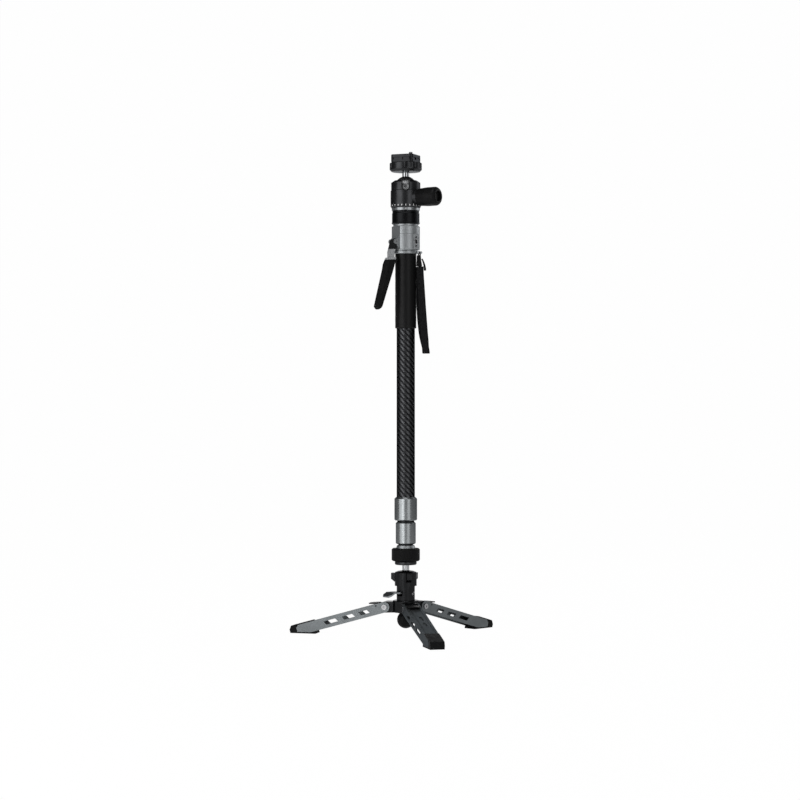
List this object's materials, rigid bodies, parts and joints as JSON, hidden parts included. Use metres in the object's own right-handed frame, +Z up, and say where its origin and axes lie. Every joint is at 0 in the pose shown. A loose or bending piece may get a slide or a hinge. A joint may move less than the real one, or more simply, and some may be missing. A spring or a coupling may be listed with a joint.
{
  "type": "camera monopod",
  "caption": "Telescoping camera monopod with a ball head and quick-release plate, a squeeze-lever section lock, a wrist strap and a fold-out base with a foot pedal.",
  "frame": {"origin": "on the tubes' common axis, at floor level", "axes": "+Z up along the tubes, -Y towards the picture's camera, +X to the right in the picture"},
  "size_m": [0.3333, 0.3314, 0.7736],
  "materials": {
    "black_satin": "fine satin black coating",
    "black_anodised": "black anodised, satin",
    "silver_anodised": "blue-grey anodised, satin",
    "plate_grey": "dark grey anodised, satin",
    "grey_anodised": "grey anodised, fine turned finish",
    "carbon": "woven twill under clear coat",
    "foam": "matt fine-celled foam",
    "rubber": "matt ribbed rubber",
    "chrome": "polished",
    "steel": "fine turned finish",
    "black_plastic": "moulded, matt",
    "ball_black": "polished black anodised",
    "webbing": "woven polyester",
    "cord": "braided"
  },
  "bodies": {
    "base": {"leg_hub": "black_satin", "leg_hinge_pins": "steel", "foot_stud": "steel", "ground_foot": "rubber", "base_column": "black_satin", "pedal_pin": "steel", "base_head": "black_satin"},
    "pedal": {"pedal": "plate_grey"},
    "lock_cup": {"ball_lock_cup": "steel"},
    "seat_ring": {"base_seat_ring": "black_plastic"},
    "base_ball": {"base_ball": "chrome"},
    "section_3": {"lower_flange": "black_satin", "lower_fitting": "silver_anodised", "tube_3": "carbon", "lock_cage_3": "black_plastic", "lock_shoes_3": "rubber"},
    "drag_ring": {"drag_ring": "rubber"},
    "cam_3": {"lock_cam_3": "steel"},
    "section_2": {"collar_2": "grey_anodised", "bush_2": "black_plastic", "tube_2": "carbon", "lock_cage_2": "black_plastic", "lock_shoes_2": "rubber"},
    "cam_2": {"lock_cam_2": "steel"},
    "section_1": {"collar_1": "grey_anodised", "bush_1": "black_plastic", "tube_1": "carbon", "foam_grip": "foam", "lever_housing": "silver_anodised", "housing_cap": "silver_anodised", "lever_pin": "steel", "pan_base": "silver_anodised"},
    "plunger": {"release_plunger": "black_plastic"},
    "rod": {"release_rod": "steel"},
    "lever": {"lever": "silver_anodised", "lever_sleeve": "rubber"},
    "strap": {"strap_ring": "silver_anodised", "strap_cord": "cord", "strap_tab": "webbing", "strap_webbing": "webbing"},
    "pan_lock": {"pan_lock_ring": "black_anodised"},
    "head": {"head_body": "black_satin", "ball_seat": "black_plastic"},
    "knob": {"lock_knob": "black_satin"},
    "ball": {"head_ball": "ball_black", "ball_stem": "chrome"},
    "clamp": {"clamp_base": "black_anodised"},
    "clamp_ring": {"clamp_ring": "black_satin"},
    "plate": {"camera_plate": "black_anodised"},
    "screw_carrier": {"screw_clip": "steel"},
    "screw": {"camera_screw": "steel"},
    "leg_1": {"leg_1": "plate_grey", "leg_shoe_1": "rubber"},
    "latch_1": {"leg_latch_1": "black_plastic"},
    "leg_2": {"leg_2": "plate_grey", "leg_shoe_2": "rubber"},
    "latch_2": {"leg_latch_2": "black_plastic"},
    "leg_3": {"leg_3": "plate_grey", "leg_shoe_3": "rubber"},
    "latch_3": {"leg_latch_3": "black_plastic"}
  },
  "joints": [
    {"name": "leg_1_fold", "type": "hinge", "parent": "base", "child": "leg_1", "pos_m": [0.00801, -0.03119, 0.04603], "axis": [0.9686, 0.2487, 0], "range_deg": [-105.8, 0]},
    {"name": "latch_1_press", "type": "hinge", "parent": "leg_1", "child": "latch_1", "pos_m": [0.01148, -0.04473, 0.04768], "axis": [0.9686, 0.2487, 0], "range_deg": [0, 8], "stiffness_Nm_per_rad": 0.4, "springref_deg": -5.73},
    {"name": "leg_2_fold", "type": "hinge", "parent": "base", "child": "leg_2", "pos_m": [0.02301, 0.02253, 0.04603], "axis": [-0.6997, 0.7145, 0], "range_deg": [-105.8, 0]},
    {"name": "latch_2_press", "type": "hinge", "parent": "leg_2", "child": "latch_2", "pos_m": [0.03299, 0.03231, 0.04768], "axis": [-0.6997, 0.7145, 0], "range_deg": [0, 8], "stiffness_Nm_per_rad": 0.4, "springref_deg": -5.73},
    {"name": "leg_3_fold", "type": "hinge", "parent": "base", "child": "leg_3", "pos_m": [-0.03101, 0.00866, 0.04603], "axis": [-0.2689, -0.9632, 0], "range_deg": [-105.8, 0]},
    {"name": "latch_3_press", "type": "hinge", "parent": "leg_3", "child": "latch_3", "pos_m": [-0.04448, 0.01242, 0.04768], "axis": [-0.2689, -0.9632, 0], "range_deg": [0, 8], "stiffness_Nm_per_rad": 0.4, "springref_deg": -5.73},
    {"name": "pedal_press", "type": "hinge", "parent": "base", "child": "pedal", "pos_m": [0.00544, 0.00441, 0.07003], "axis": [0.6293, -0.7771, 0], "range_deg": [0, 8], "stiffness_Nm_per_rad": 6, "springref_deg": -2.86},
    {"name": "ball_release", "type": "slide", "parent": "base", "child": "lock_cup", "axis": [0, 0, 1], "range_m": [-0.00098, 0]},
    {"name": "lean_direction", "type": "hinge", "parent": "base", "child": "seat_ring", "pos_m": [0, 0, 0.09603], "axis": [0, 0, 1], "continuous": true},
    {"name": "base_lean", "type": "hinge", "parent": "seat_ring", "child": "base_ball", "pos_m": [0, 0, 0.09603], "axis": [0, 1, 0], "range_deg": [0, 15]},
    {"name": "base_pan", "type": "hinge", "parent": "base_ball", "child": "section_3", "pos_m": [0, 0, 0.11403], "axis": [0, 0, 1], "continuous": true},
    {"name": "drag_turn", "type": "hinge", "parent": "section_3", "child": "drag_ring", "pos_m": [0, 0, 0.13013], "axis": [0, 0, 1], "range_deg": [0, 300]},
    {"name": "lock_3_turn", "type": "hinge", "parent": "section_3", "child": "cam_3", "pos_m": [0, 0, 0.51203], "axis": [0, 0, 1], "range_deg": [0, 40.5]},
    {"name": "section_2_draw", "type": "slide", "parent": "section_3", "child": "section_2", "axis": [0, 0, 1], "range_m": [0, 0.34]},
    {"name": "lock_2_turn", "type": "hinge", "parent": "section_2", "child": "cam_2", "pos_m": [0, 0, 0.55993], "axis": [0, 0, 1], "range_deg": [0, 40.5]},
    {"name": "section_1_draw", "type": "slide", "parent": "section_2", "child": "section_1", "axis": [0, 0, 1], "range_m": [0, 0.34]},
    {"name": "lever_squeeze", "type": "hinge", "parent": "section_1", "child": "lever", "pos_m": [-0.01905, -0.011, 0.62983], "axis": [0.5, -0.866, 0], "range_deg": [0, 12], "stiffness_Nm_per_rad": 5, "springref_deg": -5.73},
    {"name": "plunger_lift", "type": "slide", "parent": "section_1", "child": "plunger", "axis": [0, 0, 1], "range_m": [0, 0.0026]},
    {"name": "rod_turn", "type": "hinge", "parent": "section_1", "child": "rod", "pos_m": [0, 0, 0.63983], "axis": [0, 0, 1], "range_deg": [0, 40.5]},
    {"name": "strap_turn", "type": "hinge", "parent": "section_1", "child": "strap", "pos_m": [0, 0, 0.61293], "axis": [0, 0, 1], "range_deg": [-90, 180]},
    {"name": "pan_lock_turn", "type": "hinge", "parent": "section_1", "child": "pan_lock", "pos_m": [0, 0, 0.66683], "axis": [0, 0, 1], "range_deg": [0, 90]},
    {"name": "head_pan", "type": "hinge", "parent": "section_1", "child": "head", "pos_m": [0, 0, 0.68413], "axis": [0, 0, 1], "continuous": true},
    {"name": "knob_turn", "type": "hinge", "parent": "head", "child": "knob", "pos_m": [0, 0, 0.70013], "axis": [0.8192, -0.5736, 0], "range_deg": [0, 300]},
    {"name": "ball_tilt", "type": "hinge", "parent": "head", "child": "ball", "pos_m": [0, 0, 0.71723], "axis": [1, 0, 0], "range_deg": [-34, 79]},
    {"name": "clamp_spin", "type": "hinge", "parent": "ball", "child": "clamp", "pos_m": [0, 0, 0.74203], "axis": [0, 0, 1], "continuous": true},
    {"name": "clamp_ring_turn", "type": "hinge", "parent": "clamp", "child": "clamp_ring", "pos_m": [0, 0, 0.74903], "axis": [0, 0, 1], "range_deg": [0, 60]},
    {"name": "plate_lift", "type": "slide", "parent": "clamp", "child": "plate", "axis": [0, 0, 1], "range_m": [0, 0.012]},
    {"name": "screw_shift", "type": "slide", "parent": "plate", "child": "screw_carrier", "axis": [0.9205, -0.3907, 0], "range_m": [-0.0172, 0]},
    {"name": "screw_turn", "type": "hinge", "parent": "screw_carrier", "child": "screw", "pos_m": [0.00792, -0.00336, 0.76193], "axis": [0, 0, 1], "continuous": true}
  ],
  "couplings": [
    {"joint": "ball_release", "follows": "pedal_press", "m_per_rad": -0.007},
    {"joint": "plunger_lift", "follows": "lever_squeeze", "m_per_rad": 0.012},
    {"joint": "rod_turn", "follows": "lever_squeeze", "ratio": 3.3333},
    {"joint": "lock_2_turn", "follows": "lever_squeeze", "ratio": 3.3333},
    {"joint": "lock_3_turn", "follows": "lever_squeeze", "ratio": 3.3333}
  ]
}
